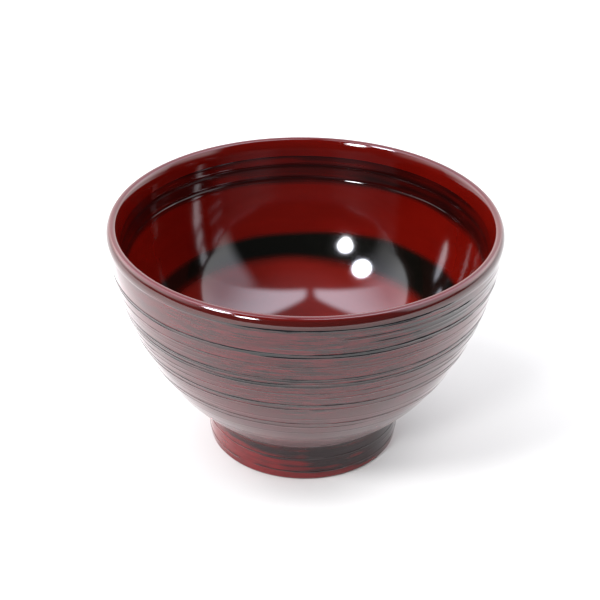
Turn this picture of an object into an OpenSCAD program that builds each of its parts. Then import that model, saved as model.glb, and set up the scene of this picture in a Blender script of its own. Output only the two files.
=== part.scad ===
// Lacquered wooden soup bowl on a turned foot ring.
// The wood is one turned blank. Every coat over it is a thin shell of its own,
// and each shell meets its neighbours face to face.
// Millimetres, +Z up, origin on the table at the centre of the foot ring.
// The half section is walked along stations: a point on the finished surface and
// the surface's outward direction. A coat is the strip between two depths below it.

/* [Bowl] */
// Outer diameter at the rim
rim_d = 118; // [112:1:124]
// Height from the table to the top of the lip
bowl_h = 75; // [73:1:78]
// Thickness of the finished wall where the lip's roundings start
lip_t = 4; // [3.8:0.1:4.3]
// Radius of the lip's wide rounding outside
lip_out_r = 3; // [2.6:0.1:3]
// Angle above the horizontal at which it gives way to the tight rounding over the top, in degrees
lip_out_turn = 45; // [40:1:45]
// Radius of the lip's wide rounding inside
lip_in_r = 8; // [7:0.5:9]
// Angle above the horizontal at which it gives way to the tight rounding over the top, in degrees
lip_in_turn = 30; // [26:1:30]

/* [Outside] */
// Radius of the upper side's arc
side_r = 98.5; // [95:0.5:104]
// Outward lean of the side at the lip, in degrees
lip_lean = 4.5; // [3.5:0.1:5.5]
// Radius of the belly's arc
belly_r = 59.5; // [57:0.5:62]
// Angle below the horizontal at which the belly's arc takes over, in degrees
belly_angle = 30.5; // [28:0.5:33]

/* [Inside] */
// Outward lean of the inside wall at the lip, in degrees
wall_lean = 5.3; // [4.7:0.1:5.9]
// Radius of the inside wall's arc
wall_r = 73; // [71:1:77]
// Angle below the horizontal at which the haunch's arc takes over, in degrees
haunch_angle = 28.5; // [27:0.5:30]
// Radius of the haunch's arc, where the lower wall curves in
haunch_r = 47; // [45:1:49]
// Radius of the arc that joins haunch and floor
well_r = 30; // [26:1:32]
// Radius of the dished floor's arc
floor_r = 110; // [100:5:140]
// Height of the inside floor above the lowest point that the haunch's arc would reach
floor_rise = 0.8; // [0.6:0.2:1.6]

/* [Foot ring] */
// Outer diameter of the foot ring on the table
foot_d = 59.6; // [58:0.2:61]
// Outward lean of the foot's outside towards the bowl, in degrees
foot_lean = 3; // [1:0.5:4]
// Width of the foot ring on the table
foot_w = 4.4; // [4:0.2:5]
// Depth of the recess inside the foot ring
recess_h = 10; // [8:0.5:11]
// Inward lean of the recess's side away from the table, in degrees
recess_lean = 8; // [4:1:10]
// Radius of the foot ring's rounded edges on the table
foot_edge_r = 0.9; // [0.8:0.1:1.2]
// Radius of the hollow fillet between foot and bowl
foot_fillet_r = 2.4; // [1.6:0.1:3.2]
// Radius of the hollow fillet round the recess's roof
recess_fillet_r = 2; // [1.5:0.1:2.5]

/* [Coats] */
// Thickness of a lacquer coat
lacquer_t = 0.3; // [0.25:0.05:0.35]
// Thickness of a ground coat
ground_t = 0.3; // [0.25:0.05:0.35]
// Depth below the top to which the lip's coat reaches outside
lip_coat_out = 3.2; // [3.2:0.1:4]
// Depth below the top to which the lip's coat reaches inside
lip_coat_in = 5.6; // [5.3:0.1:7]
// Depth below the top at which the inside's streaked band ends
streaks_in = 15.2; // [13:0.1:18]
// Depth below the top at which the black band starts
black_from = 30.2; // [28:0.2:32]
// Depth below the top at which the black band ends
black_to = 37; // [35:0.2:39]

/* [Hidden] */
$fn = 180;
// Greatest gap between an arc of the half section and the straight steps that stand for it
arc_gap = 0.02;

// Length of a vector made 1, and a vector turned a quarter clockwise
function unit(v) = v / norm(v);
function turned(v) = [v[1], -v[0]];
// Direction at an angle from the radius, anticlockwise, and the angle of a direction
function toward(a) = [cos(a), sin(a)];
function heading(v) = atan2(v[1], v[0]);

// Of the two points at distance ra from a and rb from b, the one on the left of a to b
function circle_meet(a, ra, b, rb) =
    let (d = norm(b - a), along = (d * d + ra * ra - rb * rb) / (2 * d),
         across = sqrt(ra * ra - along * along), dir = unit(b - a))
    a + dir * along - turned(dir) * across;

// Where the line through p along dir first comes within distance r of c
function line_meet(p, dir, c, r) =
    let (w = p - c, m = w * dir)
    p + dir * (-m - sqrt(m * m - w * w + r * r));

// Directions along an arc, in even steps that keep within arc_gap of it
function directions(r, from, to) =
    let (n = ceil(abs(to - from) / (2 * acos(1 - arc_gap / r))))
    [for (i = [0 : n]) toward(from + (to - from) * i / n)];

// Stations along an arc that bulges out of the wood, and along one that is hollow
function round_arc(c, r, from, to) = [for (d = directions(r, from, to)) [c + r * d, d]];
function hollow_arc(c, r, from, to) = [for (d = directions(r, from, to)) [c + r * d, -d]];

// Stretches in a row as one, where each starts at the station that the last ends with
function chain(stretches) =
    [for (i = [0 : len(stretches) - 1], j = [(i == 0 ? 0 : 1) : len(stretches[i]) - 1]) stretches[i][j]];

// Lip: a tight arc over the top, and a wide one on each side that touches it
lip_top_r = (lip_t - lip_out_r * (1 - cos(lip_out_turn)) - lip_in_r * (1 - cos(lip_in_turn)))
            / (cos(lip_out_turn) + cos(lip_in_turn));
lip_out_c = [rim_d / 2 - lip_out_r, bowl_h - lip_top_r - (lip_out_r - lip_top_r) * sin(lip_out_turn)];
lip_top_c = lip_out_c + (lip_out_r - lip_top_r) * toward(lip_out_turn);
lip_in_c = lip_top_c - (lip_in_r - lip_top_r) * toward(180 - lip_in_turn);

// Outside arcs, each touching the next
side_c = lip_out_c - (side_r - lip_out_r) * toward(-lip_lean);
belly_c = side_c + (side_r - belly_r) * toward(-belly_angle);

// Foot's outside, and the hollow fillet that touches it and the belly
foot_up = turned(toward(180 - foot_lean));
foot_out = toward(-foot_lean);
foot_edge_c = [foot_d / 2 - foot_edge_r, foot_edge_r];
foot_fillet_c = line_meet(foot_edge_c + (foot_edge_r + foot_fillet_r) * foot_out, foot_up,
                          belly_c, belly_r + foot_fillet_r);

// Inside arcs, each touching the next
wall_c = lip_in_c - (wall_r + lip_in_r) * toward(-wall_lean);
haunch_c = wall_c + (wall_r - haunch_r) * toward(-haunch_angle);
floor_c = [0, haunch_c[1] - haunch_r + floor_rise + floor_r];
well_c = circle_meet(floor_c, floor_r - well_r, haunch_c, haunch_r - well_r);
haunch_end = heading(well_c - haunch_c);
floor_start = heading(well_c - floor_c);

// The inside from the lip down to the axis: each arc's centre, radius and two end angles
inside_arcs = [[wall_c, wall_r, -wall_lean, -haunch_angle],
               [haunch_c, haunch_r, -haunch_angle, haunch_end],
               [well_c, well_r, haunch_end, floor_start],
               [floor_c, floor_r, floor_start, -90]];

// Recess under the bowl: its side leans in upwards and its roof is flat
recess_out = toward(180 + recess_lean);
recess_edge_c = [foot_d / 2 - foot_w + foot_edge_r, foot_edge_r];
recess_side = recess_edge_c + foot_edge_r * recess_out;
recess_up = turned(recess_out);
recess_fillet_low = recess_edge_c + (foot_edge_r + recess_fillet_r) * recess_out;
recess_run = (recess_h - recess_fillet_r - recess_fillet_low[1]) / recess_up[1];
recess_fillet_c = recess_fillet_low + recess_run * recess_up;

// Heights at which one coat takes over from the next
lip_out_z = bowl_h - lip_coat_out;
lip_in_z = bowl_h - lip_coat_in;
streaks_z = bowl_h - streaks_in;
black_top_z = bowl_h - black_from;
black_low_z = bowl_h - black_to;

// Angles at which the outside arcs start and end
lip_out_a = asin((lip_out_z - side_c[1]) / side_r);
belly_low_a = heading(foot_fillet_c - belly_c);

// Angle at which an inside arc passes a height, held within the arc
function angle_at(arc, z) =
    let (rise = (z - arc[0][1]) / arc[1])
    min(arc[2], max(arc[3], asin(max(-1, min(1, rise)))));

// Stations of the inside between two heights, from the upper to the lower
function inside_run(upper, lower) =
    chain([for (arc = inside_arcs)
        let (from = angle_at(arc, upper), to = angle_at(arc, lower))
        if (from > to) hollow_arc(arc[0], arc[1], from, to)]);

// Stations of each stretch, walked from the foot up the outside, over the lip and down the inside
foot_ring_s = concat(round_arc(recess_edge_c, foot_edge_r, 180 + recess_lean, 270),
                     round_arc(foot_edge_c, foot_edge_r, -90, -foot_lean),
                     hollow_arc(foot_fillet_c, foot_fillet_r, 180 - foot_lean, 180 + belly_low_a));
outside_s = chain([round_arc(belly_c, belly_r, belly_low_a, -belly_angle),
                   round_arc(side_c, side_r, -belly_angle, lip_out_a)]);
lip_s = chain([round_arc(side_c, side_r, lip_out_a, -lip_lean),
               round_arc(lip_out_c, lip_out_r, -lip_lean, lip_out_turn),
               round_arc(lip_top_c, lip_top_r, lip_out_turn, 180 - lip_in_turn),
               round_arc(lip_in_c, lip_in_r, 180 - lip_in_turn, 180 - wall_lean),
               inside_run(bowl_h, lip_in_z)]);
streaks_s = inside_run(lip_in_z, streaks_z);
wall_s = inside_run(streaks_z, black_top_z);
black_s = inside_run(black_top_z, black_low_z);
well_s = inside_run(black_low_z, 0);
recess_s = concat([[[0, recess_h], [0, -1]]],
                  hollow_arc(recess_fillet_c, recess_fillet_r, 90, recess_lean),
                  [[recess_side, recess_out]]);

// Points of a run of stations at a depth below the finished surface
function at_depth(stations, depth) = [for (s = stations) s[0] - depth * s[1]];
function backwards(list) = [for (i = [len(list) - 1 : -1 : 0]) list[i]];

// A coat: the strip between two depths below a run of stations, turned round the axis
module coat(stations, from, to) {
    rotate_extrude()
        polygon(concat(at_depth(stations, from), backwards(at_depth(stations, to))));
}

// Turned blank of bowl and foot ring
module wood_core() {
    around = chain([foot_ring_s, outside_s, lip_s, streaks_s, wall_s, black_s, well_s]);
    color("burlywood")
        rotate_extrude()
            polygon(concat(at_depth(around, lacquer_t + ground_t), at_depth(recess_s, lacquer_t)));
}

// Ground coat that the brush marks are combed into, from the fillet to the lip
module outer_ground_coat() {
    color("dimgray")
        coat(chain([outside_s, lip_s]), lacquer_t, lacquer_t + ground_t);
}

// Ground coat of the inside, from the lip to the middle of the floor
module inner_ground_coat() {
    color("saddlebrown")
        coat(chain([streaks_s, wall_s, black_s, well_s]), lacquer_t, lacquer_t + ground_t);
}

// Plain red coat over the lip
module lip_lacquer() {
    color([0.42, 0.04, 0.05])
        coat(lip_s, 0, lacquer_t);
}

// Red coat of the outside with black brushed streaks
module outer_streaked_lacquer() {
    color([0.30, 0.06, 0.07])
        coat(outside_s, 0, lacquer_t);
}

// Band of black brushed streaks inside, under the lip
module inner_streaked_band() {
    color([0.20, 0.04, 0.04])
        coat(streaks_s, 0, lacquer_t);
}

// Plain red coat of the inside wall
module inner_wall_lacquer() {
    color([0.50, 0.05, 0.02])
        coat(wall_s, 0, lacquer_t);
}

// Black band brushed round the lower wall
module inner_black_band() {
    color([0.05, 0.05, 0.04])
        coat(black_s, 0, lacquer_t);
}

// Red coat of the well, below the black band
module well_lacquer() {
    color([0.48, 0.10, 0.07])
        coat(well_s, 0, lacquer_t);
}

// Streaked red coat of the foot ring, round its edges on the table
module foot_lacquer() {
    color([0.34, 0.08, 0.10])
        coat(foot_ring_s, 0, lacquer_t + ground_t);
}

// Black coat of the recess inside the foot ring
module underside_lacquer() {
    color([0.07, 0.06, 0.06])
        coat(recess_s, 0, lacquer_t);
}

wood_core();
outer_ground_coat();
inner_ground_coat();
lip_lacquer();
outer_streaked_lacquer();
inner_streaked_band();
inner_wall_lacquer();
inner_black_band();
well_lacquer();
foot_lacquer();
underside_lacquer();
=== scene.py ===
"""Finish and fine surface of a lacquered soup bowl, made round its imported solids.

The bowl is round, so every coat is a thin closed shell turned round the axis from the same
half section as the solids. Brushed coats carry their strokes as relief in the mesh, and the
same strokes lay the black over the red through a mesh attribute. Sizes are in metres.
"""
import logging
import math
from dataclasses import dataclass, field
from enum import Enum
from typing import Callable, Optional, Union

import bmesh
import bpy
import numpy as np
from mathutils import Matrix, Vector


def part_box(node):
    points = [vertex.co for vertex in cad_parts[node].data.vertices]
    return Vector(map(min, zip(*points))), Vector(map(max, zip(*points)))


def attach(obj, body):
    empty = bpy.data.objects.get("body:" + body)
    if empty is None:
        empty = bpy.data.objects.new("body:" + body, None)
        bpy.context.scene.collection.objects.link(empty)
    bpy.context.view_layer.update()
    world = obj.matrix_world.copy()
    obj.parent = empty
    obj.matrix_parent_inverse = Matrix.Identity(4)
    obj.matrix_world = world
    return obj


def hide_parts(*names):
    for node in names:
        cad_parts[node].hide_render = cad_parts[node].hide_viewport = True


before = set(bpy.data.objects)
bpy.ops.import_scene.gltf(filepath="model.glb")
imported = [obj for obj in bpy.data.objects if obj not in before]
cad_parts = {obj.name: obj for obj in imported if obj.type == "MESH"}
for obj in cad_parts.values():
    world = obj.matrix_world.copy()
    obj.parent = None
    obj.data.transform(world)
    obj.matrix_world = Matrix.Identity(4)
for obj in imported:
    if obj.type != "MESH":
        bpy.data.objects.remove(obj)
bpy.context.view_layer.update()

MM = 0.001
BODY = "root"
# Steps round one turn in which the brush's wandering is worked out
TURN_STEPS = 1441
# Radius under which a point lies on the axis
ON_AXIS = 1e-9

log = logging.getLogger("bowl")

Colour = tuple[float, float, float]
Value = Union["Flow", float]

STROKE_BLACK: Colour = (0.007, 0.0075, 0.0075)
BAND_BLACK: Colour = (0.002, 0.002, 0.0015)


def toward(degrees: float) -> np.ndarray:
    """Returns the unit direction at an angle from the radius, anticlockwise in the half section."""
    angle = math.radians(degrees)
    return np.array([math.cos(angle), math.sin(angle)])


def heading(direction: np.ndarray) -> float:
    """Returns the angle of a direction in the half section, in degrees."""
    return math.degrees(math.atan2(direction[1], direction[0]))


def circles_meet(a: np.ndarray, from_a: float, b: np.ndarray, from_b: float) -> np.ndarray:
    """Finds the point at given distances from two others, on the left of the way from a to b.

    Args:
        a: First point.
        from_a: Distance from it.
        b: Second point.
        from_b: Distance from it.

    Returns:
        The point that meets both distances.
    """
    apart = float(np.linalg.norm(b - a))
    ahead = (apart ** 2 + from_a ** 2 - from_b ** 2) / (2 * apart)
    aside = math.sqrt(from_a ** 2 - ahead ** 2)
    way = (b - a) / apart
    return a + way * ahead + np.array([-way[1], way[0]]) * aside


def ease(values: np.ndarray) -> np.ndarray:
    """Returns values held between 0 and 1, eased at both ends."""
    held = np.clip(values, 0, 1)
    return held * held * (3 - 2 * held)


@dataclass(frozen=True)
class Arc:
    """A round stretch of the half section.

    Attributes:
        centre: Centre of the arc.
        radius: Radius of the arc.
        start: Angle at which the walk enters it, in degrees.
        end: Angle at which the walk leaves it, in degrees.
        hollow: True where the surface faces the arc's centre.
    """

    centre: np.ndarray
    radius: float
    start: float
    end: float
    hollow: bool = False

    def walk(self, step: float) -> tuple[np.ndarray, np.ndarray]:
        """Walks the arc.

        Args:
            step: Greatest distance between two stations.

        Returns:
            The stations' points and the surface's outward directions there.
        """
        length = math.radians(abs(self.end - self.start)) * self.radius
        count = max(2, math.ceil(length / step))
        ways = np.array([toward(a) for a in np.linspace(self.start, self.end, count + 1)])
        return self.centre + self.radius * ways, -ways if self.hollow else ways


@dataclass
class HalfSection:
    """The finished surface of the bowl in the half plane, with the driving sizes of the solids.

    The surface is walked from the middle of the inside floor, up the wall, over the lip, down the
    outside, round the foot ring and into the recess. A place on it is its distance along the walk
    from the top of the lip: below zero inside, above zero outside.
    """

    rim_radius: float = 59 * MM
    height: float = 75 * MM
    lip_thickness: float = 4 * MM
    lip_out_radius: float = 3 * MM
    lip_out_turn: float = 45
    lip_in_radius: float = 8 * MM
    lip_in_turn: float = 30
    side_radius: float = 98.5 * MM
    lip_lean: float = 4.5
    belly_radius: float = 59.5 * MM
    belly_angle: float = 30.5
    wall_lean: float = 5.3
    wall_radius: float = 73 * MM
    haunch_angle: float = 28.5
    haunch_radius: float = 47 * MM
    well_radius: float = 30 * MM
    floor_radius: float = 110 * MM
    floor_rise: float = 0.8 * MM
    foot_radius: float = 29.8 * MM
    foot_lean: float = 3
    foot_width: float = 4.4 * MM
    recess_height: float = 10 * MM
    recess_lean: float = 8
    foot_edge: float = 0.9 * MM
    foot_fillet: float = 2.4 * MM
    recess_fillet: float = 2 * MM
    step: float = 0.1 * MM
    points: np.ndarray = field(init=False)
    outward: np.ndarray = field(init=False)
    along: np.ndarray = field(init=False)

    def __post_init__(self) -> None:
        """Walks all the arcs once and measures the way from the top of the lip."""
        walks = [arc.walk(self.step) for arc in self.arcs()]
        axis_end = (np.array([[0, self.recess_height]]), np.array([[0, -1]]))
        walks.append(axis_end)
        self.points = np.concatenate([w[0] for w in walks])
        self.outward = np.concatenate([w[1] for w in walks])
        gaps = np.linalg.norm(np.diff(self.points, axis=0), axis=1)
        kept = np.concatenate([[True], gaps > self.step * 1e-4])
        self.points, self.outward = self.points[kept], self.outward[kept]
        gaps = np.linalg.norm(np.diff(self.points, axis=0), axis=1)
        walked = np.concatenate([[0], np.cumsum(gaps)])
        self.along = walked - walked[int(np.argmax(self.points[:, 1]))]

    def arcs(self) -> list[Arc]:
        """Returns the arcs of the surface in the order of the walk."""
        out_way, in_way = toward(self.lip_out_turn), toward(180 - self.lip_in_turn)
        spare = (self.lip_thickness - self.lip_out_radius * (1 - out_way[0])
                 - self.lip_in_radius * (1 + in_way[0]))
        top_radius = spare / (out_way[0] - in_way[0])
        lip_top = np.array([self.rim_radius - self.lip_out_radius, self.height - top_radius])
        lip_top[0] += (self.lip_out_radius - top_radius) * out_way[0]
        lip_out = lip_top - (self.lip_out_radius - top_radius) * out_way
        lip_in = lip_top - (self.lip_in_radius - top_radius) * in_way
        side = lip_out - (self.side_radius - self.lip_out_radius) * toward(-self.lip_lean)
        belly = side + (self.side_radius - self.belly_radius) * toward(-self.belly_angle)
        wall = lip_in - (self.wall_radius + self.lip_in_radius) * toward(-self.wall_lean)
        haunch = wall + (self.wall_radius - self.haunch_radius) * toward(-self.haunch_angle)
        floor = np.array([0, haunch[1] - self.haunch_radius + self.floor_rise + self.floor_radius])
        well = circles_meet(floor, self.floor_radius - self.well_radius,
                            haunch, self.haunch_radius - self.well_radius)
        into_well, into_floor = heading(well - haunch), heading(well - floor)
        foot_out = toward(-self.foot_lean)
        foot = np.array([self.foot_radius - self.foot_edge, self.foot_edge])
        beside_foot = foot + (self.foot_edge + self.foot_fillet) * foot_out
        foot_up = np.array([-foot_out[1], foot_out[0]])
        offset = beside_foot - belly
        across = float(offset @ foot_up)
        reach = self.belly_radius + self.foot_fillet
        aside = math.sqrt(across ** 2 - float(offset @ offset) + reach ** 2)
        fillet = beside_foot + foot_up * (-across - aside)
        under_belly = heading(fillet - belly)
        recess = np.array([self.foot_radius - self.foot_width + self.foot_edge, self.foot_edge])
        recess_out = toward(180 + self.recess_lean)
        recess_up = np.array([recess_out[1], -recess_out[0]])
        low = recess + (self.foot_edge + self.recess_fillet) * recess_out
        rise = (self.recess_height - self.recess_fillet - low[1]) / recess_up[1]
        return [
            Arc(floor, self.floor_radius, -90, into_floor, hollow=True),
            Arc(well, self.well_radius, into_floor, into_well, hollow=True),
            Arc(haunch, self.haunch_radius, into_well, -self.haunch_angle, hollow=True),
            Arc(wall, self.wall_radius, -self.haunch_angle, -self.wall_lean, hollow=True),
            Arc(lip_in, self.lip_in_radius, 180 - self.wall_lean, 180 - self.lip_in_turn),
            Arc(lip_top, top_radius, 180 - self.lip_in_turn, self.lip_out_turn),
            Arc(lip_out, self.lip_out_radius, self.lip_out_turn, -self.lip_lean),
            Arc(side, self.side_radius, -self.lip_lean, -self.belly_angle),
            Arc(belly, self.belly_radius, -self.belly_angle, under_belly),
            Arc(fillet, self.foot_fillet, 180 + under_belly, 180 - self.foot_lean, hollow=True),
            Arc(foot, self.foot_edge, -self.foot_lean, -90),
            Arc(recess, self.foot_edge, 270, 180 + self.recess_lean),
            Arc(low + rise * recess_up, self.recess_fillet, self.recess_lean, 90, hollow=True),
        ]

    def inside_at(self, height: float) -> float:
        """Returns the place on the inside at a height."""
        inner = self.along <= 0
        return float(np.interp(height, self.points[inner, 1], self.along[inner]))

    def outside_at(self, height: float) -> float:
        """Returns the place on the outside at a height above the foot's edge."""
        outer = (self.along >= 0) & (self.points[:, 0] > self.foot_radius - self.foot_edge)
        return float(np.interp(-height, -self.points[outer, 1], self.along[outer]))

    def at(self, along: np.ndarray, depth: float = 0) -> np.ndarray:
        """Finds points below the finished surface.

        Args:
            along: Places on the surface.
            depth: Depth below it.

        Returns:
            One row of radius and height for each place.
        """
        columns = [np.interp(along, self.along, self.points[:, i]) for i in (0, 1)]
        return np.stack(columns, 1) - depth * self.outward_at(along)

    def outward_at(self, along: np.ndarray) -> np.ndarray:
        """Returns the surface's outward directions at places on it, one row each."""
        columns = [np.interp(along, self.along, self.outward[:, i]) for i in (0, 1)]
        ways = np.stack(columns, 1)
        return ways / np.linalg.norm(ways, axis=1, keepdims=True)


def joins(operation: str, swapped: bool = False) -> Callable[["Flow", Value], "Flow"]:
    """Makes the method of a flow behind one Python operator.

    Args:
        operation: Operation of the Math node that it adds.
        swapped: True for the reflected form, in which the flow comes second.

    Returns:
        The method.
    """
    def method(flow: "Flow", other: Value) -> "Flow":
        """Adds the Math node."""
        return flow.math(operation, *((other, flow) if swapped else (flow, other)))
    return method


class Flow:
    """A shader socket that takes part in Python expressions; each operator adds its Math node."""

    def __init__(self, graph: "Graph", socket: bpy.types.NodeSocket) -> None:
        """Wraps a socket of a graph."""
        self.graph = graph
        self.socket = socket

    def math(self, operation: str, first: Value, second: Value = 0.0) -> "Flow":
        """Adds a Math node.

        Args:
            operation: The node's operation.
            first: Its first value.
            second: Its second value.

        Returns:
            The node's result.
        """
        return self.graph.add("ShaderNodeMath", {"operation": operation}, {0: first, 1: second})

    __add__, __radd__ = joins("ADD"), joins("ADD", swapped=True)
    __sub__, __rsub__ = joins("SUBTRACT"), joins("SUBTRACT", swapped=True)
    __mul__, __rmul__ = joins("MULTIPLY"), joins("MULTIPLY", swapped=True)
    __truediv__ = joins("DIVIDE")
    at_least = joins("MAXIMUM")

    def ramp(self, low: float, high: float, to_low: float = 0.0, to_high: float = 1.0) -> "Flow":
        """Eases from one value to another while this one goes from low to high.

        Args:
            low: Where the change starts.
            high: Where it ends.
            to_low: Result up to the start.
            to_high: Result past the end.

        Returns:
            The eased value.
        """
        return self.graph.add(
            "ShaderNodeMapRange",
            {"interpolation_type": "SMOOTHSTEP"},
            {"Value": self, "From Min": low, "From Max": high, "To Min": to_low, "To Max": to_high},
        )


class Graph:
    """A node tree that is filled by calls."""

    def __init__(self, tree: bpy.types.NodeTree) -> None:
        """Empties the tree."""
        self.tree = tree
        tree.nodes.clear()

    def make(self, kind: str, settings: dict, sockets: dict) -> bpy.types.Node:
        """Adds a node, sets it up and fills its sockets.

        Args:
            kind: The node's type.
            settings: The node's own settings by name, which are set first.
            sockets: Values or flows by socket name or number.

        Returns:
            The node.
        """
        node = self.tree.nodes.new(kind)
        for name, value in settings.items():
            setattr(node, name, value)
        for key, value in sockets.items():
            socket = node.inputs[key]
            if isinstance(value, Flow):
                self.tree.links.new(value.socket, socket)
            elif isinstance(value, tuple) and socket.type == "RGBA":
                socket.default_value = (*value, 1.0)
            else:
                socket.default_value = value
        return node

    def add(self, kind: str, settings: dict, sockets: dict, output: Union[str, int] = 0) -> Flow:
        """Adds a node as make does and returns one of its outputs as a flow."""
        return Flow(self, self.make(kind, settings, sockets).outputs[output])

    def split(self, vector: Flow) -> tuple[Flow, ...]:
        """Returns a vector's three numbers."""
        parts = self.make("ShaderNodeSeparateXYZ", {}, {0: vector})
        return tuple(Flow(self, output) for output in parts.outputs)

    def blend(self, first: Union[Colour, Flow], second: Union[Colour, Flow], amount: Value) -> Flow:
        """Mixes two colours.

        Args:
            first: Colour at an amount of zero.
            second: Colour at an amount of one.
            amount: How much of the second there is.

        Returns:
            The mixed colour.
        """
        colour_a, colour_b, result = 6, 7, 2
        settings = {"data_type": "RGBA", "clamp_factor": True}
        sockets = {0: amount, colour_a: first, colour_b: second}
        return self.add("ShaderNodeMix", settings, sockets, output=result)

    def place(self, scale_round: float, scale_across: float, across: Value) -> Flow:
        """Makes a coordinate for brushed patterns: long round the axis, short across.

        Args:
            scale_round: Repeats per metre along the brush's way.
            scale_across: Repeats per metre across it.
            across: Distance across the brush's way.

        Returns:
            A vector that has no seam.
        """
        x, y, _ = self.split(self.object_place())
        sockets = {0: x * scale_round, 1: y * scale_round, 2: across * scale_across}
        return self.add("ShaderNodeCombineXYZ", {}, sockets)

    def noise(self, vector: Flow, scale: float = 1.0, detail: float = 2.0, rough: float = 0.5) -> Flow:
        """Adds a noise between 0 and 1 on a coordinate."""
        sockets = {"Vector": vector, "Scale": scale, "Detail": detail, "Roughness": rough}
        return self.add("ShaderNodeTexNoise", {}, sockets)

    def object_place(self) -> Flow:
        """Returns the point on the object, in metres."""
        return self.add("ShaderNodeTexCoord", {}, {}, output="Object")

    def attribute(self, name: str) -> Flow:
        """Returns a number that the mesh carries at each point."""
        settings = {"attribute_name": name, "attribute_type": "GEOMETRY"}
        return self.add("ShaderNodeAttribute", settings, {}, output="Fac")


def new_material(name: str) -> tuple[bpy.types.Material, Graph]:
    """Makes a material with an empty graph."""
    material = bpy.data.materials.new(name)
    material.use_nodes = True
    return material, Graph(material.node_tree)


class Gloss(Enum):
    """How a coat was rubbed down, as the roughness of its surface."""

    POLISHED = 0.08
    BRUSHED = 0.11
    SATIN = 0.28


@dataclass(frozen=True)
class LacquerFinish:
    """Brushed or plain lacquer: a red coat with black over it where the mesh says so.

    Attributes:
        name: Name of the material.
        red: Colour of the red coat.
        deep: Colour of the red coat where it is thicker.
        black: Colour of the black over it.
        gloss: How the coat was rubbed down.
        haze: How much the roughness changes over the surface.
        clouds: How much of the deeper red shows.
        ragged: How much the fine brush lines break up the edges of the black; zero for a plain coat.
        mottle: How much black the brush left between the strokes, in short dashes.
        bristle: Height of the fine brush lines.
        ior: Refractive index of the coat.
        dull: Roughness that is added towards the foot, where the coat wasn't rubbed down.
        dull_from: Place on the surface where that begins.
        dull_to: Place where it is complete.
        painted_line_shade: Colour of the painted shade in the middle of a ragged coat's strokes, a matt black
            without gloss that stands in for the dark their grooves mirror.
        painted_sheen: How much pale colour is painted on the lower belly as painted sheen, standing in for the
            brighter floor that the gloss mirrors there.
        painted_sheen_colour: Colour of the painted sheen.
        painted_sheen_from: Place where it begins.
        painted_sheen_to: Place where it is complete.
    """

    name: str
    red: Colour
    deep: Colour
    black: Colour = STROKE_BLACK
    gloss: Gloss = Gloss.POLISHED
    haze: float = 0.02
    clouds: float = 0.6
    ragged: float = 0.0
    mottle: float = 0.0
    bristle: float = 0.0
    ior: float = 1.52
    dull: float = 0.0
    dull_from: float = 46 * MM
    dull_to: float = 62 * MM
    painted_line_shade: Colour = (0.008, 0.008, 0.010)
    painted_sheen: float = 0.0
    painted_sheen_colour: Colour = (0.30, 0.25, 0.26)
    painted_sheen_from: float = 53 * MM
    painted_sheen_to: float = 65 * MM

    def material(self) -> bpy.types.Material:
        """Builds the material."""
        material, g = new_material(self.name)
        along = g.attribute("along")
        cloud = g.noise(g.place(45, 160, along), detail=3, rough=0.55)
        black = g.attribute("black")
        sockets = {}
        if self.ragged:
            dashes = g.noise(g.place(150, 1500, along), detail=4, rough=0.62)
            threads = g.noise(g.place(45, 3400, along), detail=3, rough=0.6)
            patches = g.noise(g.place(22, 90, along), detail=2, rough=0.5)
            rough_edge = (dashes - 0.5) * self.ragged + (threads - 0.5) * self.ragged
            black = (black + rough_edge * black.ramp(0.02, 0.3)).ramp(0.12, 0.85)
            left = dashes.ramp(0.34, 0.66) * patches.ramp(0.32, 0.62, 0.5, 1.0)
            black = black.at_least(left * self.mottle).at_least(threads.ramp(0.48, 0.74) * self.mottle)
            height = threads * 0.5 + dashes * 0.5
            bump = {"Strength": 1.0, "Distance": self.bristle, "Height": height}
            sockets["Normal"] = g.add("ShaderNodeBump", {}, bump)
        red = g.blend(self.red, self.deep, cloud.ramp(0.35, 0.7) * self.clouds)
        base = g.blend(red, self.black, black)
        # Painted sheen: pale colour on the lower belly stands in for the brighter floor that the gloss mirrors
        # there.
        if self.painted_sheen:
            pale = along.ramp(self.painted_sheen_from, self.painted_sheen_to) * (0.6 + cloud * 0.8) * self.painted_sheen
            base = g.blend(base, self.painted_sheen_colour, pale)
        sockets["Base Color"] = base
        rough = self.gloss.value + (cloud - 0.5) * self.haze
        if self.dull:
            rough = rough + along.ramp(self.dull_from, self.dull_to, 0.0, self.dull)
        sockets["Roughness"] = rough.at_least(0.01)
        sockets["IOR"] = self.ior
        shader = g.add("ShaderNodeBsdfPrincipled", {}, sockets)
        if self.ragged:
            # Painted shade: the strokes' middles turn to a matt black without gloss, for the dark that their
            # grooves mirror.
            painted_shade_mask = (g.attribute("painted_shade_amounts") + (dashes - 0.5) * 0.9 + (threads - 0.5) * 0.5).ramp(0.42, 0.72)
            painted_line_shade = g.add("ShaderNodeBsdfDiffuse", {}, {"Color": self.painted_line_shade})
            shader = g.add("ShaderNodeMixShader", {}, {0: painted_shade_mask, 1: shader, 2: painted_line_shade})
        g.make("ShaderNodeOutputMaterial", {}, {"Surface": shader})
        return material


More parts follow.
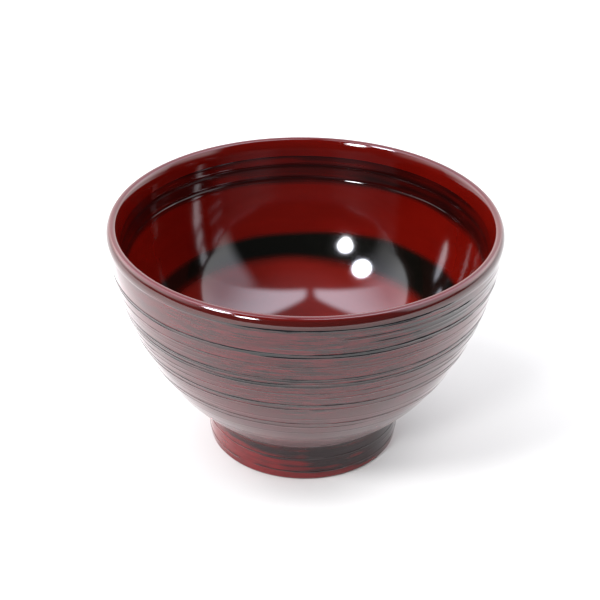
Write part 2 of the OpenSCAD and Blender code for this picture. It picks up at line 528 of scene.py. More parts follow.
@dataclass(frozen=True)
class WoodFinish:
    """Turned hardwood under the coats: growth rings and pores."""

    name: str
    light: Colour
    dark: Colour

    def material(self) -> bpy.types.Material:
        """Builds the material."""
        material, g = new_material(self.name)
        place = g.object_place()
        bend = g.noise(place, scale=18, detail=2)
        x, _, z = g.split(place)
        ring_place = (x * 900.0 + z * 120.0) + bend * 14.0
        rings = g.add("ShaderNodeMath", {"operation": "SINE"}, {0: ring_place})
        grain_scale = (900.0, 60.0, 900.0)
        long_grain = g.add("ShaderNodeVectorMath", {"operation": "MULTIPLY"}, {0: place, 1: grain_scale})
        pores = g.noise(long_grain, detail=2)
        band = (rings * 0.5 + 0.5) * 0.7 + pores.ramp(0.45, 0.75) * 0.3
        colour = g.blend(self.light, self.dark, band)
        bump = g.add("ShaderNodeBump", {}, {"Strength": 0.5, "Distance": 0.05 * MM, "Height": pores})
        sockets = {"Base Color": colour, "Roughness": 0.45 + pores * 0.2, "Normal": bump}
        g.make("ShaderNodeOutputMaterial", {}, {"Surface": g.add("ShaderNodeBsdfPrincipled", {}, sockets)})
        return material


@dataclass(frozen=True)
class GroundFinish:
    """Ground of lacquer and fine powder: matt, dark and faintly gritty."""

    name: str
    base: Colour
    grit: Colour

    def material(self) -> bpy.types.Material:
        """Builds the material."""
        material, g = new_material(self.name)
        grain = g.noise(g.object_place(), scale=5200, detail=2)
        patch = g.noise(g.object_place(), scale=120, detail=3)
        colour = g.blend(self.base, self.grit, grain.ramp(0.5, 0.7) * 0.5 + patch * 0.3)
        bump = g.add("ShaderNodeBump", {}, {"Strength": 0.6, "Distance": 0.02 * MM, "Height": grain})
        sockets = {"Base Color": colour, "Roughness": 0.7 + patch * 0.2, "Normal": bump}
        g.make("ShaderNodeOutputMaterial", {}, {"Surface": g.add("ShaderNodeBsdfPrincipled", {}, sockets)})
        return material


@dataclass(frozen=True)
class Stroke:
    """One brushed line of black that runs round the bowl.

    Attributes:
        place: Distance from the top of the lip along the surface, in millimetres, below zero inside.
        width: Half width of the line, in millimetres.
        black: How much black it lays, from 0 to 1.
        ridge: Height that it stands out, in millimetres, below zero for a groove.
        breaks: How often the brush skips, from 0 for never to 1.
        lean: Distance by which it sits lower on the right than in front, in millimetres.
        painted_line_shade: How much of its middle is painted as matt black shade without gloss, from 0 to 1.
        start: Angle at which it begins, in degrees from the front towards the right.
        sweep: Angle that it runs, in degrees.
    """

    place: float
    width: float
    black: float
    ridge: float = 0.0
    breaks: float = 0.3
    lean: float = 0.0
    painted_line_shade: float = 0.0
    start: float = -180.0
    sweep: float = 360.0


@dataclass
class BrushWork:
    """All the strokes of one coat, which give relief and black at any point of it.

    Attributes:
        strokes: The strokes that were placed by hand.
        seed: Seed of the small irregularities.
        drift: How far a stroke wanders from its place, in millimetres.
        fade: Angle over which its ends fade, in degrees.
    """
    # strokes: The strokes that were listed.

    strokes: list[Stroke]
    seed: int = 1
    drift: float = 0.12
    fade: float = 9.0

    def scatter(self, count: int, places: tuple[float, float], widths: tuple[float, float],
                blacks: tuple[float, float], ridge: float, sweeps: tuple[float, float]) -> "BrushWork":
        """Adds fine strokes at seeded random places.

        Args:
            count: How many.
            places: Range of their places, in millimetres.
            widths: Range of their half widths, in millimetres.
            blacks: Range of how much black they lay.
            ridge: Greatest height that one stands out, in millimetres.
            sweeps: Range of the angles that they run.

        Returns:
            This brush work.
        """
        draw = np.random.default_rng(self.seed + 1000 + len(self.strokes))
        for _ in range(count):
            black = draw.uniform(*blacks)
            self.strokes.append(Stroke(
                place=draw.uniform(*places), width=draw.uniform(*widths), black=black,
                ridge=ridge * draw.uniform(0.3, 1.0), start=draw.uniform(-180, 180),
                sweep=draw.uniform(*sweeps), lean=draw.uniform(-0.3, 0.5), breaks=draw.uniform(0.2, 0.8)))
        return self

    @staticmethod
    def wander(draw: np.random.Generator, slowest: int, fastest: int) -> np.ndarray:
        """Makes a smooth random line round the bowl, mostly within -1 and 1, as a table over one turn."""
        turn = np.linspace(-math.pi, math.pi, TURN_STEPS)
        waves = np.arange(slowest, fastest + 1)[:, None]
        heights = draw.normal(size=waves.shape) / np.sqrt(waves)
        lines = heights * np.sin(waves * turn + draw.uniform(0, 2 * math.pi, waves.shape))
        return lines.sum(0) / math.sqrt((1 / waves).sum())

    def lay(self, along: np.ndarray, angle: np.ndarray) -> tuple[np.ndarray, np.ndarray, np.ndarray]:
        """Works out what the strokes do at points of the coat.

        Args:
            along: Places on the surface from the top of the lip, in metres.
            angle: Angles round the axis from the front, in radians.

        Returns:
            The relief in metres, and the black and the painted shade of the strokes' middles from 0 to 1.
        """
        draw = np.random.default_rng(self.seed)
        place = along / MM
        turn = np.linspace(-math.pi, math.pi, TURN_STEPS)
        order = np.rint((angle + math.pi) / (2 * math.pi) * (TURN_STEPS - 1)).astype(int)
        relief = np.zeros_like(place)
        bare = np.ones_like(place)
        painted_shade_amounts = np.zeros_like(place)
        for stroke in self.strokes:
            middle = stroke.place + stroke.lean * np.sin(turn) + self.drift * self.wander(draw, 2, 7)
            width = stroke.width * np.maximum(1 + 0.25 * self.wander(draw, 3, 16), 0.3)
            skip = self.wander(draw, 3, 24) * stroke.breaks
            held = np.ones_like(turn)
            if stroke.sweep < 360:
                off = np.degrees((turn - math.radians(stroke.start)) % (2 * math.pi))
                held = ease(np.minimum(off, stroke.sweep - off) / self.fade)
            press = held * np.clip(1.0 - np.maximum(skip, 0) * 1.4, 0, 1)
            near = np.flatnonzero(np.abs(place - stroke.place) < abs(stroke.lean) + 0.5 + 3.5 * stroke.width)
            at = order[near]
            shape = np.exp(-((place[near] - middle[at]) / width[at]) ** 2)
            relief[near] += stroke.ridge * shape * press[at]
            bare[near] *= 1 - np.clip(stroke.black * press[at], 0, 1) * shape
            painted_shade_amounts[near] = np.maximum(painted_shade_amounts[near], stroke.painted_line_shade * press[at] * shape)
        return relief * MM, 1 - bare, painted_shade_amounts


@dataclass
class TurnedCoat:
    """A lacquer coat: a closed shell turned round the axis between two places on the surface.

    Attributes:
        name: Name of the piece.
        node: The CAD node that it stands for.
        slot: The record's material slot; not used.
        section: The bowl's half section.
        first: Place on the surface where it starts.
        last: Place on the surface where it ends.
        finish: The finish that dresses it.
        thickness: Thickness of the coat.
        spacing: Distance between rows of points along the surface.
        brush: Brush work that it carries, if any.
        black: Black by place and angle, for a coat without brush work.
        settle: Depth by which the relief's ground lies below the finished surface.
        around: Number of steps round one turn, a multiple of the sectors.
        sectors: Number of equal parts that are made by copying the first.
        back_rows: Greatest number of rows on the hidden side.
        taper: Distance from an end over which the relief fades out.
    """

    name: str
    node: str
    slot: str
    section: HalfSection
    first: float
    last: float
    finish: LacquerFinish
    thickness: float = 0.3 * MM
    spacing: float = 0.5 * MM
    brush: Optional[BrushWork] = None
    black: Optional[Callable[[np.ndarray, np.ndarray], np.ndarray]] = None
    settle: float = 0.0
    around: int = 288
    sectors: int = 12
    back_rows: int = 24
    taper: float = 0.5 * MM

    def outline(self) -> tuple[np.ndarray, np.ndarray, np.ndarray]:
        """Returns the closed outline's points, their places, and 1 for each on the finished side."""
        rows = max(2, math.ceil((self.last - self.first) / self.spacing))
        front = np.linspace(self.first, self.last, rows + 1)
        back = np.linspace(self.last, self.first, min(rows, self.back_rows) + 1)
        points = np.concatenate([self.section.at(front), self.section.at(back, self.thickness)])
        return points, np.concatenate([front, back]), np.repeat([1.0, 0.0], [len(front), len(back)])

    def build(self) -> bpy.types.Object:
        """Turns the outline round the axis, works in the brush strokes and dresses the piece."""
        shell = bmesh.new()
        layers = [shell.verts.layers.float.new(name) for name in ("along", "finished")]
        verts = []
        for (radius, height), *values in zip(*self.outline()):
            vert = shell.verts.new((0.0, -radius if radius > ON_AXIS else 0.0, height))
            for layer, value in zip(layers, values):
                vert[layer] = value
            verts.append(vert)
        edges = [shell.edges.new((verts[i - 1], verts[i])) for i in range(len(verts))
                 if verts[i - 1].co.y < 0 or verts[i].co.y < 0]
        sector = 2 * math.pi / self.sectors

        def turn(geom: list, angle: float, steps: int, copies: bool) -> None:
            """Turns geometry of the shell round the axis."""
            bmesh.ops.spin(shell, geom=geom, cent=(0, 0, 0), axis=(0, 0, 1), dvec=(0, 0, 0), angle=angle,
                           steps=steps, use_merge=False, use_duplicate=copies)
        turn(verts + edges, sector, self.around // self.sectors, False)
        turn([*shell.verts, *shell.edges, *shell.faces], 2 * math.pi - sector, self.sectors - 1, True)
        bmesh.ops.remove_doubles(shell, verts=shell.verts, dist=1e-7)
        bmesh.ops.recalc_face_normals(shell, faces=shell.faces)
        if shell.calc_volume(signed=True) < 0:
            bmesh.ops.reverse_faces(shell, faces=shell.faces)
        mesh = bpy.data.meshes.new(self.name)
        shell.to_mesh(mesh)
        shell.free()
        self.work(mesh)
        mesh.polygons.foreach_set("use_smooth", np.ones(len(mesh.polygons), bool))
        mesh.set_sharp_from_angle(angle=math.radians(62))
        mesh.materials.append(self.finish.material())
        piece = bpy.data.objects.new(self.name, mesh)
        bpy.context.scene.collection.objects.link(piece)
        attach(piece, BODY)
        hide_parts(self.node)
        log.info("%s: %d faces", self.name, len(mesh.polygons))
        return piece

    @staticmethod
    def read(mesh: bpy.types.Mesh, name: str) -> np.ndarray:
        """Returns the numbers that the mesh carries at its points."""
        values = np.empty(len(mesh.vertices), np.float32)
        mesh.attributes[name].data.foreach_get("value", values)
        return values.astype(float)

    def work(self, mesh: bpy.types.Mesh) -> None:
        """Presses the relief into the finished side and stores the black and the painted shade of the strokes
        on the mesh.
        """
        co = np.empty(len(mesh.vertices) * 3)
        mesh.vertices.foreach_get("co", co)
        co = co.reshape(-1, 3)
        along, front = self.read(mesh, "along"), self.read(mesh, "finished") > 0.5
        angle = np.arctan2(co[:, 0], -co[:, 1])
        black = self.black(along, angle) if self.black else np.zeros(len(co))
        painted_shade_amounts = np.zeros(len(co))
        if self.brush:
            relief, black, painted_shade_amounts = self.brush.lay(along, angle)
            ends = np.minimum(along - self.first, self.last - along) / self.taper
            out = self.section.outward_at(along)
            # Where the coat faces the table it has no relief, so that the foot stands on it
            off_table = np.clip((out[:, 1] + 0.97) / 0.2, 0, 1)
            relief = np.where(front, (relief - self.settle) * np.clip(ends, 0, 1) * off_table, 0)
            relief = np.minimum(relief, 0)
            radius = np.hypot(co[:, 0], co[:, 1])
            grown = (radius + relief * out[:, 0]) / np.maximum(radius, 1e-9)
            co = np.stack([co[:, 0] * grown, co[:, 1] * grown, co[:, 2] + relief * out[:, 1]], 1)
            mesh.vertices.foreach_set("co", co.ravel())
        for name, values in (("black", black), ("painted_shade_amounts", painted_shade_amounts)):
            layer = mesh.attributes.new(name, "FLOAT", "POINT")
            layer.data.foreach_set("value", values.astype(np.float32))
        mesh.update()


# One stroke in each row: place, width, black, ridge, breaks, lean, pit, start, sweep
OUTER_STROKES = (
    (4.4, 0.3, 0.95, 0.15, 0.25, 0.05),
    (4.3, 0.34, 0.9, 0, 0.3, 0, 1, -25, 75),
    (4.9, 0.22, 0.9, 0, 0.6, 0, 0.9, -14, 50),
    (7.6, 0.18, 0.8, 0, 0.6, 0, 0.8, 5, 75),
    (9.8, 0.18, 0.8, 0, 0.6, 0, 0.8, 10, 75),
    (5.1, 0.5, 0.6, 0, 0.5),
    (6.3, 0.2, 0.6, 0.09, 0.8, 0, 0, -25, 110),
    (7.9, 0.22, 0.8, 0.12, 0.7, 0, 0, 0, 95),
    (9.5, 0.22, 0.8, 0.11, 0.7, 0, 0, 5, 90),
    (10.8, 0.2, 0.7, 0.1, 0.7, 0, 0, -15, 100),
    (6.6, 0.8, 0.7, 0, 0.3, 0, 0, 20, 140),
    (8.6, 0.9, 0.75, 0, 0.4, 0, 0, 12, 140),
    (10.5, 0.7, 0.7, 0, 0.4, 0, 0, 25, 130),
    (12.5, 0.26, 0.95, 0.15, 0.15, 0.1, 0.9),
    (13.8, 0.26, 0.95, 0.15, 0.35, 0.1, 0.85),
    (13.1, 0.6, 0.8, 0, 0.1),
    (17.1, 0.18, 0.9, 0.1, 0.2, 0.1, 0.7),
    (18.2, 0.16, 0.7, 0.06, 0.4),
    (19.9, 0.15, 0.4, 0.05, 0.5),
    (22.1, 0.22, 0.95, 0.14, 0.1, 0.1, 0.8),
    (23.1, 0.16, 0.7, 0.07, 0.3, 0, 0.6),
    (24.2, 0.22, 0.9, 0.14, 0.2, 0, 0.8),
    (25.4, 0.2, 0.9, 0.13, 0.2, 0.1, 0.7),
    (22.6, 0.6, 0.75, 0, 0.1),
    (24.9, 0.7, 0.75, 0, 0.2),
    (26.5, 0.5, 0.5, 0, 0.4),
    (28.3, 0.2, 0.8, 0.12, 0.4, 0.2, 0.6),
    (30.4, 0.2, 0.6, 0.12, 0.9, 0.3),
    (28.8, 0.7, 0.5, 0, 0.3, 0.2),
    (31.3, 0.9, 0.4, 0, 0.4, 0.4),
    (33.7, 0.22, 0.95, 0.14, 0.1, 0.9, 0.8),
    (35.9, 0.22, 0.9, 0.13, 0.3, 0.9, 0.7),
    (34.3, 0.6, 0.75, 0, 0.2, 0.9),
    (36.6, 0.5, 0.4, 0, 0.4, 0.9),
    (38.9, 1.2, 0.35, 0, 0.4, 1),
    (41.5, 0.16, 0.4, 0.05, 0.6, 1.2),
    (44.1, 0.2, 0.85, 0.12, 0.2, 1.6, 0.75),
    (46.3, 0.2, 0.8, 0.12, 0.4, 1.6, 0.6),
    (45.4, 1.3, 0.5, 0, 0.2, 1.6),
    (50.5, 0.2, 0.4, 0.05, 0.6, 1),
    (51.5, 3.5, 0.5, 0, 0.1, 0.8),
    (56, 0.2, 0.4, 0.05, 0.6, 0.6),
    (62, 0.3, 0.4, 0.03, 0.6),
    (60, 9, 0.35, 0, 0.1, 0, 0, 10, 150),
    (69.5, 1.5, 0.5, 0, 0.1),
)
INNER_STROKES = (
    (-6.4, 0.42, 0.6, -0.16, 0.1),
    (-6.8, 1.4, 0.8, 0, 0.2),
    (-9.8, 0.42, 0.6, -0.16, 0.1),
    (-10.2, 1.6, 0.85, 0, 0.15),
    (-12, 0.9, 0.6, 0, 0.5),
    (-13.9, 0.42, 0.6, -0.15, 0.1),
    (-14.3, 1.4, 0.85, 0, 0.2),
    (-12.5, 1.6, 0.85, 0, 0.2, 0, 0, 70, 95),
    (-9, 1.2, 0.7, 0, 0.3, 0, 0, 85, 75),
    (-12, 2.2, 0.6, 0, 0.2, 0, 0, -150, 80),
)
FOOT_STROKES = (
    (71.3, 1.3, 0.7, 0, 0.2),
    (73.6, 1.2, 0.75, 0, 0.3, 0, 0, -60, 220),
    (77.5, 7, 0.45, 0, 0.05, 0, 0, 0, 170),
    (74.6, 2.2, 0.55, 0, 0.1, 0, 0, -40, 215),
    (78.9, 0.5, 0.6, 0, 0.3, 0, 0, -35, 215),
    (76.6, 0.4, 0.6, 0, 0.3, 0, 0, -30, 200),
    (75.9, 0.22, 0.95, 0.17),
    (78.2, 0.2, 0.5, 0.06, 0.6),
    (81, 0.22, 0.9, 0.17),
    (80.6, 0.7, 0.5, 0, 0.4, 0, 0, -35, 150),
    (75, 1.5, 0.5, 0, 0.5, 0, 0, -20, 180),
    (77.6, 1.2, 0.6, 0, 0.5, 0, 0, 8, 150),
    (79.6, 1, 0.6, 0, 0.5, 0, 0, 18, 140),
    (81.8, 1.3, 0.5, 0, 0.4, 0, 0, 28, 120),
    (76.5, 1, 0.5, 0, 0.4, 0, 0, 20, 120),
)


@dataclass
class Bowl:
    """The whole bowl: every coat in order, over the blank and its ground coats.

    Attributes:
        section: The half section that all coats follow.
        lip_out: Depth below the top to which the lip's coat reaches outside.
        lip_in: Depth below the top to which it reaches inside.
        streaks_in: Depth below the top at which the streaked band inside ends.
        black_from: Depth below the top at which the black band starts.
        black_to: Depth below the top at which the black band ends.
        red: Colour of the plain coats.
        deep: Colour of the plain coats where they are thicker.
    """

    section: HalfSection = field(default_factory=HalfSection)
    lip_out: float = 3.2 * MM
    lip_in: float = 5.6 * MM
    streaks_in: float = 15.2 * MM
    black_from: float = 30.2 * MM
    black_to: float = 37 * MM
    red: Colour = (0.085, 0.0020, 0.0009)
    deep: Colour = (0.065, 0.0015, 0.0007)

    def build(self) -> list[bpy.types.Object]:
        """Builds and dresses every piece of the bowl."""
        lip_in, streaks = self.inside(self.lip_in), self.inside(self.streaks_in)
        band_top, band_low = self.inside(self.black_from), self.inside(self.black_to)
        lip_out = self.section.outside_at(self.section.height - self.lip_out)
        fillet_end = self.fillet_end()
        recess_start = self.recess_start()
        floor, roof = float(self.section.along[0]), float(self.section.along[-1])
        coats = [
            # The lip coat's black is painted shade on the outside of the lip.
            TurnedCoat("lip_coat", "lip_lacquer", "lip_red", self.section, lip_in, lip_out,
                       self.plain("lip_red_lacquer"), black=self.lip_painted_shade, spacing=0.15 * MM),
            self.outer(lip_out, fillet_end),
            self.inner_streaks(streaks, lip_in),
            TurnedCoat("inner_wall_coat", "inner_wall_lacquer", "inner_red", self.section, band_top, streaks,
                       self.plain("inner_red_lacquer", black=BAND_BLACK), black=self.band()),
            TurnedCoat("inner_black_coat", "inner_black_band", "inner_black", self.section, band_low, band_top,
                       self.plain("inner_black_lacquer", black=BAND_BLACK),
                       black=self.band(), spacing=0.25 * MM),
            TurnedCoat("well_coat", "well_lacquer", "well_red", self.section, floor, band_low,
                       LacquerFinish("well_red_lacquer", (0.11, 0.006, 0.004), (0.09, 0.005, 0.003),
                                     black=BAND_BLACK), black=self.band()),
            self.foot(fillet_end, recess_start),
            TurnedCoat("recess_coat", "underside_lacquer", "underside_black", self.section, recess_start, roof,
                       self.underside()),
        ]
        pieces = [coat.build() for coat in coats]
        self.dress_hidden()
        return pieces

    def inside(self, depth: float) -> float:
        """Returns the place on the inside at a depth below the top."""
        return self.section.inside_at(self.section.height - depth)

    def fillet_end(self) -> float:
        """Returns the place where the belly's arc meets the hollow fillet over the foot."""
        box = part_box("outer_streaked_lacquer")
        return self.section.outside_at(box[0].z)

    def recess_start(self) -> float:
        """Returns the place where the foot ring's inner edge meets the recess's side."""
        s = self.section
        edge_height = s.foot_edge * (1 + math.sin(math.radians(180 + s.recess_lean)))
        inner = (s.points[:, 0] < s.foot_radius - s.foot_width + s.foot_edge) & (s.along > 0)
        inner &= s.points[:, 1] < s.recess_height / 2
        return float(np.interp(edge_height, s.points[inner, 1], s.along[inner]))

    def plain(self, name: str, black: Colour = STROKE_BLACK) -> LacquerFinish:
        """Returns the finish of a polished red coat."""
        return LacquerFinish(name, self.red, self.deep, black=black)

    @staticmethod
    def lip_painted_shade(along: np.ndarray, angle: np.ndarray) -> np.ndarray:
        """Returns the black at places and angles on the lip: painted shade that darkens the lip's outside."""
        return 0.5 * ease((along / MM - 0.8 + 0.1 * np.sin(5 * angle)) / 0.9)

    def underside(self) -> LacquerFinish:
        """Returns the finish of the black recess."""
        return LacquerFinish("underside_black_lacquer", (0.014, 0.012, 0.012), (0.008, 0.007, 0.007),
                             gloss=Gloss.SATIN, haze=0.12, ragged=0.4, mottle=0.3, bristle=0.01 * MM)

    def band(self) -> Callable[[np.ndarray, np.ndarray], np.ndarray]:
        """Returns the black of the inner band, whose soft edges run on into the coats above and below."""
        upper, lower = self.inside(self.black_from), self.inside(self.black_to)

        def amount(along: np.ndarray, angle: np.ndarray) -> np.ndarray:
            """Returns the black at places and angles on the surface; the band is widest on the right."""
            waver = 0.18 * np.sin(3 * angle + 1) + 0.14 * np.sin(7 * angle + 2) + 0.08 * np.sin(13 * angle)
            right = np.sin(angle)
            rise = ease((along - lower + (1.8 * right + waver) * MM) / (5.0 * MM) + 0.8)
            fall = ease((upper - along + (1.6 * right + waver) * MM) / (2.6 * MM) + 0.6)
            return rise * fall
        return amount

    def outer(self, first: float, last: float) -> TurnedCoat:
        """Returns the streaked coat of the outside."""
        brush = BrushWork([Stroke(*row) for row in OUTER_STROKES], seed=7)
        brush.scatter(150, (4.3, 70), (0.12, 0.18), (0.3, 0.8), 0.07, (6, 50))
        brush.scatter(60, (5, 60), (0.4, 0.8), (0.2, 0.55), 0.0, (15, 70))
        # The outer coat's pale colour on the lower belly is painted sheen.
        finish = LacquerFinish("outer_streaked_lacquer_finish", (0.095, 0.007, 0.011), (0.078, 0.006, 0.009),
                               gloss=Gloss.BRUSHED, haze=0.04, ragged=0.7, mottle=0.85, bristle=0.008 * MM,
                               ior=1.53, dull=0.2, painted_sheen=0.27)
        return TurnedCoat("outer_coat", "outer_streaked_lacquer", "outer_streaked", self.section, first, last,
                          finish, spacing=0.135 * MM, brush=brush, settle=0.15 * MM, around=180,
                          taper=0.2 * MM)

    def inner_streaks(self, first: float, last: float) -> TurnedCoat:
        """Returns the streaked band under the lip, inside."""
        brush = BrushWork([Stroke(*row) for row in INNER_STROKES], seed=21)
        brush.scatter(40, (-15.2, -5.5), (0.15, 0.5), (0.1, 0.5), 0.012, (20, 120))
        finish = LacquerFinish("inner_streaked_lacquer_finish", self.red, self.deep,
                               black=(0.004, 0.0012, 0.0012))
        return TurnedCoat("inner_streaked_coat", "inner_streaked_band", "inner_streaked", self.section, first,
                          last, finish, spacing=0.2 * MM, brush=brush, settle=0.02 * MM, taper=1.0 * MM)

    def foot(self, first: float, last: float) -> TurnedCoat:
        """Returns the streaked coat of the foot ring."""
        brush = BrushWork([Stroke(*row) for row in FOOT_STROKES], seed=33)
        brush.scatter(50, (70.5, 84), (0.12, 0.3), (0.2, 0.6), 0.05, (15, 80))
        finish = LacquerFinish("foot_streaked_lacquer_finish", (0.16, 0.008, 0.010), (0.11, 0.006, 0.008),
                               black=(0.016, 0.007, 0.008), gloss=Gloss.BRUSHED, haze=0.04, ragged=0.35,
                               mottle=0.55, bristle=0.006 * MM, ior=1.42)
        return TurnedCoat("foot_coat", "foot_lacquer", "foot_streaked", self.section, first, last, finish,
                          thickness=0.6 * MM, spacing=0.12 * MM, brush=brush, settle=0.17 * MM)

    def dress_hidden(self) -> None:
        """Dresses the blank and the ground coats, which stay the CAD's own solids."""
        wood = WoodFinish("turned_wood_finish", (0.52, 0.34, 0.18), (0.36, 0.21, 0.10)).material()
        ground = GroundFinish("ground_coat_finish", (0.05, 0.035, 0.03), (0.11, 0.08, 0.065)).material()
        dresses = {"wood_core": wood, "outer_ground_coat": ground, "inner_ground_coat": ground}
        for node, material in dresses.items():
            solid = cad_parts[node]
            for place in solid.material_slots:
                place.material = material
            log.info("%s: dressed", node)


@dataclass(frozen=True)
class RoundLamp:
    """A round studio lamp, placed by the direction in which the bowl sees it.

    Attributes:
        name: Name of the lamp.
        azimuth: Direction round the bowl, in degrees from straight away from the camera to the right.
        rise: Height over the horizon, in degrees.
        half_width: Half of the angle that it covers, in degrees.
        away: Distance from the bowl.
        edge: Half of the angle over which its mirrored edge fades.
    """

    name: str
    azimuth: float
    rise: float
    half_width: float
    away: float = 1.6
    edge: float = 0.5

    def way(self) -> Vector:
        """Returns the direction from the bowl to the lamp."""
        side, height = math.radians(self.azimuth), math.radians(self.rise)
        level = math.cos(height)
        return Vector((math.sin(side) * level, math.cos(side) * level, math.sin(height)))

    def hang(self, radiance: float) -> None:
        """Adds the lamp that lights matt surfaces.

        Args:
            radiance: How bright its face is.
        """
        radius = self.away * math.tan(math.radians(self.half_width))
        data = bpy.data.lights.new(f"round_lamp_{self.name}", "AREA")
        data.shape = "DISK"
        data.size = 2 * radius
        data.energy = radiance * math.pi ** 2 * radius ** 2
        lamp = bpy.data.objects.new(data.name, data)
        lamp.location = self.way() * self.away
        lamp.rotation_mode = "QUATERNION"
        lamp.rotation_quaternion = self.way().to_track_quat("Z", "Y")
        lamp.visible_glossy = False
        bpy.context.scene.collection.objects.link(lamp)

    def seen(self, g: Graph, direction: Flow) -> Flow:
        """Finds where the lamp stands in the room as the lacquer mirrors it.

        Args:
            g: The world's graph.
            direction: The direction that is looked in.

        Returns:
            One inside the lamp's disc and zero outside, with a soft edge.
        """
        sockets = {0: direction, 1: tuple(self.way())}
        facing = g.add("ShaderNodeVectorMath", {"operation": "DOT_PRODUCT"}, sockets, output="Value")
        outer, inner = (math.cos(math.radians(self.half_width + off)) for off in (self.edge, -self.edge))
        return facing.ramp(outer, inner)


@dataclass
class Studio:
    """Camera, pale floor, lamps and the soft panels of the room.

    The camera was fitted to the bowl's outline in a square picture.

    Attributes:
        picture: Width of that picture, in pixels.
        focal: Focal length, in the same pixels.
        elevation: Height of the camera over the horizon, in degrees.
        distance: Distance of the camera from its target.
        target_height: Height of the target, which lies on the bowl's axis.
        target_pixel: Where the target stands in the picture, from its upper left corner.
        roll: Turn of the camera round its view, in degrees.
        sensor: Width of the camera's sensor, in millimetres.
        floor_front: Reach of the floor towards the camera.
        floor_reach: Half of the floor's width.
        floor_seen: White of the floor to the camera.
        floor_in_painted_shadow: White of the floor near the bowl, to every other ray: a painted shadow in
            front of the bowl, which the lacquer mirrors.
        floor_far: White of the floor away from the bowl, to every other ray.
        painted_shadow_middle: Middle of the painted shadow on the floor near the bowl.
        lamp_glow: Brightness of the round lamps to matt surfaces.
        lamp_gleam: Brightness of the round lamps in the gloss.
        right_glow: Brightness of the panel on the right.
        behind_glow: Brightness of the wall behind the bowl.
        matt_share: How much of the panels' light reaches matt surfaces.
        round_lamps: The two round lamps.
    """

    picture: float = 600.0
    focal: float = 1422.22
    elevation: float = 31.97
    distance: float = 442.5 * MM
    target_height: float = 34.42 * MM
    target_pixel: tuple[float, float] = (304.48, 332.77)
    roll: float = 0.79
    sensor: float = 36.0
    floor_front: float = 0.32
    floor_reach: float = 2.5
    floor_seen: float = 0.61
    floor_in_painted_shadow: float = 0.70
    floor_far: float = 0.93
    painted_shadow_middle: tuple[float, float, float] = (0.03, -0.10, 0.0)
    lamp_glow: float = 55.0
    lamp_gleam: float = 70.0
    right_glow: float = 2.6
    behind_glow: float = 2.2
    matt_share: float = 0.77
    round_lamps: tuple[RoundLamp, ...] = (
        RoundLamp("low", -147.4, 30.6, 5.4), RoundLamp("high", -125.1, 41.0, 6.7))

    def build(self) -> None:
        """Sets up everything round the bowl."""
        self.camera()
        self.floor()
        self.lamps()
        self.room()

    def camera(self) -> None:
        """Places the camera at the photograph's viewing angle."""
        rise = math.radians(self.elevation)
        back = Vector((0, -math.cos(rise), math.sin(rise)))
        right = Vector((1, 0, 0))
        up = back.cross(right)
        pan = math.atan((self.target_pixel[0] - self.picture / 2) / self.focal)
        tilt = math.atan((self.target_pixel[1] - self.picture / 2) / self.focal)
        ahead = -back * math.cos(pan) - right * math.sin(pan)
        right = right * math.cos(pan) - back * math.sin(pan)
        ahead, up = (ahead * math.cos(tilt) + up * math.sin(tilt),
                     up * math.cos(tilt) - ahead * math.sin(tilt))
        turn = math.radians(self.roll)
        right, up = (right * math.cos(turn) + up * math.sin(turn),
                     up * math.cos(turn) - right * math.sin(turn))
        data = bpy.data.cameras.new("camera")
        data.sensor_width = self.sensor
        data.lens = self.sensor * self.focal / self.picture
        data.clip_start, data.clip_end = 0.01, 20.0
        camera = bpy.data.objects.new("camera", data)
        axes = Matrix((right, up, -ahead)).transposed()
        stand = Vector((0, 0, self.target_height)) + back * self.distance
        camera.matrix_world = Matrix.Translation(stand) @ axes.to_4x4()
        bpy.context.scene.collection.objects.link(camera)
        bpy.context.scene.camera = camera

    def floor(self) -> None:
        """Lays the pale floor, whose front edge lies below the camera."""
        sheet = bmesh.new()
        bmesh.ops.create_grid(sheet, x_segments=1, y_segments=1, size=self.floor_reach)
        middle = self.floor_reach - self.floor_front
        bmesh.ops.translate(sheet, vec=(0, middle, 0), verts=sheet.verts)
        mesh = bpy.data.meshes.new("floor")
        sheet.to_mesh(mesh)
        sheet.free()
        mesh.materials.append(self.floor_finish())
        floor = bpy.data.objects.new("floor", mesh)
        bpy.context.scene.collection.objects.link(floor)

    def floor_finish(self) -> bpy.types.Material:
        """Returns the floor's matt white: deeper to the camera, and to other rays dimmer near the bowl, as a
        painted shadow that the lacquer mirrors.
        """
        material, g = new_material("pale_floor")
        seen = g.make("ShaderNodeLightPath", {}, {})
        camera = Flow(g, seen.outputs["Is Camera Ray"])
        # Painted shadow: to other rays the floor is dimmer round a point in front of the bowl.
        from_painted_shadow = g.add("ShaderNodeVectorMath", {"operation": "DISTANCE"},
                          {0: g.object_place(), 1: self.painted_shadow_middle}, output="Value")
        white = g.blend((self.floor_in_painted_shadow,) * 3, (self.floor_far,) * 3, from_painted_shadow.ramp(0.05, 0.13))
        colour = g.blend(white, (self.floor_seen,) * 3, camera)
        matt = g.add("ShaderNodeBsdfDiffuse", {}, {"Color": colour})
        g.make("ShaderNodeOutputMaterial", {}, {"Surface": matt})
        return material

    def lamps(self) -> None:
        """Hangs the two round lamps behind the camera, on its left."""
        for lamp in self.round_lamps:
            lamp.hang(self.lamp_glow)

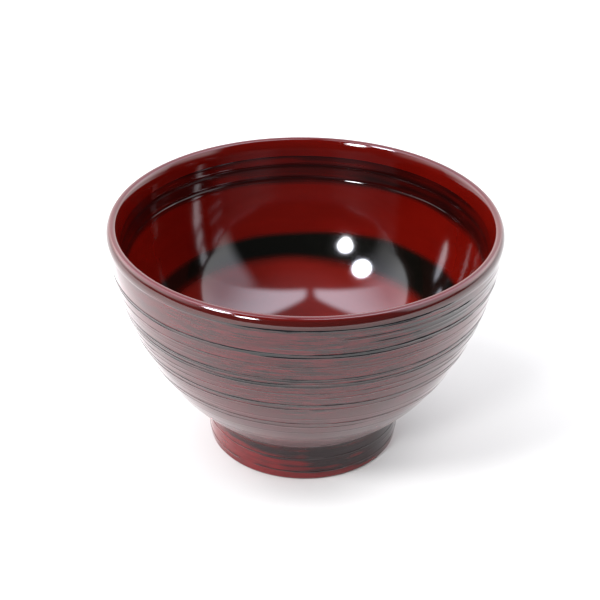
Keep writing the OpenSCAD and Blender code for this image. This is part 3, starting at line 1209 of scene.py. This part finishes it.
    def room(self) -> None:
        """Makes the room, which is white to the camera and dark behind it.

        Two wide soft panels hang overhead and almost meet in the middle. They are bounded in the plane
        of a ceiling: across is the distance to the side over the height, ahead the distance away from
        the camera over the height. A panel stands on the right, one on the left, and a bright wall
        behind the bowl. The gloss also sees the round lamps, as discs.
        """
        world = bpy.data.worlds.new("room")
        bpy.context.scene.world = world
        world.use_nodes = True
        g = Graph(world.node_tree)
        direction = g.add("ShaderNodeTexCoord", {}, {}, output="Generated")
        x, y, z = g.split(direction)
        height = z.at_least(0.05)
        across = g.add("ShaderNodeMath", {"operation": "ABSOLUTE"}, {0: x / height + 0.065})
        ahead = y / height
        near_edge = (ahead - across * 0.14 + 0.40).ramp(-0.03, 0.08)
        far_edge = (across * 0.9 - 0.28 - ahead).ramp(-0.06, 0.07)
        gap = across.ramp(0.0, 0.10)
        bright = across.ramp(0.2, 1.3, 8.5, 3.0)
        panels = near_edge * far_edge * gap * bright * z.ramp(0.1, 0.3)
        right = x.ramp(0.4, 0.65) * (y + x * 0.58).ramp(-0.12, 0.1) * z.ramp(0.15, 0.4) * self.right_glow
        left = (-1.0 * x).ramp(0.4, 0.75) * (y - x * 0.6).ramp(-0.15, 0.15) * z.ramp(0.15, 0.4)
        left = left * y.ramp(-0.4, 0.0, 1.4, 3.4)
        ceiling = z.ramp(0.75, 0.95) * 0.3
        behind = y.ramp(0.0, 0.5) * self.behind_glow
        light = g.make("ShaderNodeLightPath", {}, {})
        camera, glossy = (Flow(g, light.outputs[name]) for name in ("Is Camera Ray", "Is Glossy Ray"))
        discs = [lamp.seen(g, direction) for lamp in self.round_lamps]
        gleam = (discs[0] + discs[1]) * glossy * self.lamp_gleam
        share = self.matt_share + glossy * (1 - self.matt_share)
        soft = (panels.at_least(right).at_least(left) + ceiling + behind) * share
        glow = soft + gleam + 0.04
        strength = glow * (1.0 - camera) + camera
        mirrored = g.blend((0.98, 0.98, 1.0), (0.84, 0.86, 1.0), glossy * z.ramp(0.35, 0.65))
        colour = g.blend(mirrored, (1.0, 1.0, 1.0), camera)
        shader = g.add("ShaderNodeBackground", {}, {"Color": colour, "Strength": strength})
        g.make("ShaderNodeOutputWorld", {}, {"Surface": shader})


def main() -> None:
    """Builds the studio and the bowl and reports each piece."""
    logging.basicConfig(level=logging.INFO, format="%(name)s: %(message)s")
    scene = bpy.context.scene
    scene.view_settings.view_transform = "Standard"
    Studio().build()
    pieces = Bowl().build()
    log.info("%d pieces made over the packed solids", len(pieces))


if __name__ == "__main__":
    main()
